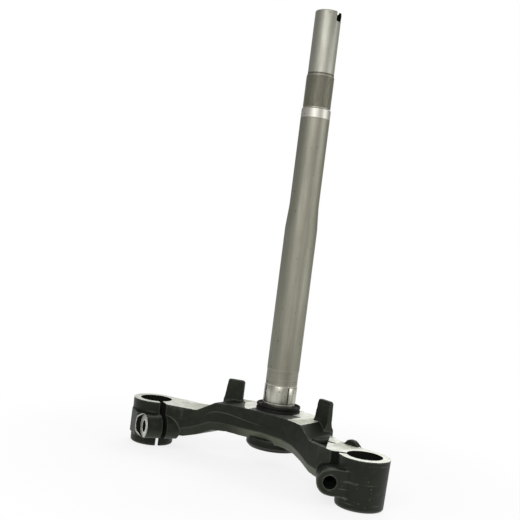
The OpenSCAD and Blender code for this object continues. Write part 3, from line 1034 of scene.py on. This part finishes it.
def makeSeal(s):
    # out along the plateau, up the outside with its groove and lip, and down to the stem
    outer, inner, foot = s["outerR"], s["innerR"] + s["clear"], s["plateau"] - s["datum"]
    top = foot + s["height"]
    corners = [
        (inner, foot), (outer - 0.8 * mm, foot), (outer - 0.2 * mm, foot + 0.2 * mm),
        (outer, foot + 0.7 * mm), (outer, foot + 1.8 * mm), (outer - 0.4 * mm, foot + 2.3 * mm),
        (outer - 1.3 * mm, foot + 2.6 * mm), (outer - 1.35 * mm, foot + 3.1 * mm),
        (outer - 0.5 * mm, foot + 3.6 * mm),
        (outer - 0.04 * mm, foot + 4.1 * mm), (outer - 0.1 * mm, top - 0.3 * mm), (outer - 0.5 * mm, top),
        (outer - 1.0 * mm, top - 0.1 * mm), (outer - 1.4 * mm, top - 0.9 * mm),
        (outer - 2.4 * mm, foot + 4.0 * mm), (inner + 1.9 * mm, foot + 3.7 * mm),
        (inner + 1.2 * mm, foot + 4.0 * mm), (inner + 0.85 * mm, top - 1.2 * mm),
        (inner + 0.4 * mm, top - 0.85 * mm), (inner, top - 0.95 * mm),
    ]
    return spinProfile("sealRing", corners, s["segments"])


rubberSettings = {
    "base": (0.0035, 0.0036, 0.0032, 1), "dusty": (0.014, 0.014, 0.012, 1),
    "speck": (0.10, 0.098, 0.09, 1),
    "grain": {"Scale": 1900.0, "Coarse": 0.7}, "specks": {"Scale": 520.0, "Size": 0.14, "Share": 0.12},
    "dust": (0.45, 0.75), "dustCover": 0.5, "speckCover": 0.5,
    "roughness": (0.45, 0.75), "gloss": 0.2, "bump": (0.3, 0.08 * mm),
}


def blackRubber(s):
    material, tree, shader, place = newMaterial("blackRubber")
    grain = useGroup(tree, grainGroup, place, s["grain"])
    specks = useGroup(tree, speckGroup, place, s["specks"])["Mask"]
    dust = fade(tree, grain["Tone"], *s["dust"])
    colour = mixColour(tree, times(tree, dust, s["dustCover"]), s["base"], s["dusty"])
    colour = mixColour(tree, times(tree, specks, s["speckCover"]), colour, s["speck"])
    rough = scaled(tree, grain["Tone"], *s["roughness"])
    setInputs(tree, shader, {"Base Color": colour, "Roughness": rough, "Specular IOR Level": s["gloss"]})
    bumpInto(tree, shader, grain["Height"], *s["bump"])
    return material


seal = makeSeal(sealSettings)
shadeByAngle(seal, sealSettings["shadeAngle"])
seal.data.materials.clear()
seal.data.materials.append(blackRubber(rubberSettings))
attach(seal, "root")
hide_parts("dust_seal")
print("seal done")


# floor, world and lamps

stageSettings = {
    "floorZ": -67.6 * mm, "floorSize": 8.0, "floorColour": (0.86, 0.86, 0.86, 1),
    "shadowShare": 0.2, "shadowReach": (0.16, 0.34),  # how strong the shadow is and where it fades
    "world": 0.36,
    "lamps": [  # name, place, size, watts, aims at
        ("keyLamp", (0.55, -1.40, 0.95), 1.2, 22, (0, 0, 0.12)),
        ("sideLamp", (1.5, 0.45, 0.4), 0.8, 8, (0, 0, 0.0)),
        ("backLamp", (-0.5, 1.4, 1.4), 1.2, 16, (0, 0, 0.0)),
    ],
}


def paleFloor(s):
    # white to the camera and in reflections, apart from the shadow near the object
    material = bpy.data.materials.new("paleFloor")
    material.use_nodes = True
    tree = material.node_tree
    tree.nodes.clear()
    matt = newNode(tree, "BsdfDiffuse", {"Color": s["floorColour"]}).outputs[0]
    glow = newNode(tree, "Emission", {"Strength": 1.0}).outputs[0]
    rays = newNode(tree, "LightPath", {}).outputs
    seen = either(tree, rays["Is Camera Ray"], rays["Is Glossy Ray"], rays["Is Transmission Ray"])
    place = newNode(tree, "TexCoord", {}).outputs["Object"]
    far = spread(tree, vectorNode(tree, "LENGTH", place, (0, 0, 0)), *s["shadowReach"])
    white = times(tree, seen, scaled(tree, far, 1 - s["shadowShare"], 1.0))
    mix = newNode(tree, "MixShader", {0: white, 1: matt, 2: glow})
    newNode(tree, "OutputMaterial", {0: mix.outputs[0]})
    return material


def makeFloor(s):
    bm = bmesh.new()
    bmesh.ops.create_grid(bm, x_segments=1, y_segments=1, size=s["floorSize"] / 2,
                          matrix=Matrix.Translation((0, 0, s["floorZ"])))
    floor = newObject("studioFloor", bm)
    floor.data.materials.append(paleFloor(s))


def makeWorld(s):
    # white behind the object, and an even grey light on it
    world = bpy.data.worlds.new("studioWorld")
    world.use_nodes = True
    tree = world.node_tree
    tree.nodes.clear()
    seen = newNode(tree, "LightPath", {}).outputs["Is Camera Ray"]
    grey, white = (newNode(tree, "Background", {"Color": (1, 1, 1, 1), "Strength": strength}).outputs[0]
                   for strength in (s["world"], 1.0))
    mix = newNode(tree, "MixShader", {0: seen, 1: grey, 2: white})
    newNode(tree, "OutputWorld", {0: mix.outputs[0]})
    bpy.context.scene.world = world


def makeLamps(s):
    for name, place, size, watts, aim in s["lamps"]:
        data = bpy.data.lights.new(name, "AREA")
        data.size = size
        data.energy = watts
        lamp = bpy.data.objects.new(name, data)
        lamp.location = place
        lamp.rotation_euler = (Vector(aim) - Vector(place)).to_track_quat("-Z", "Y").to_euler()
        bpy.context.scene.collection.objects.link(lamp)


makeFloor(stageSettings)
makeWorld(stageSettings)
makeLamps(stageSettings)
bpy.context.scene.view_settings.view_transform = "Standard"
print("stage done")
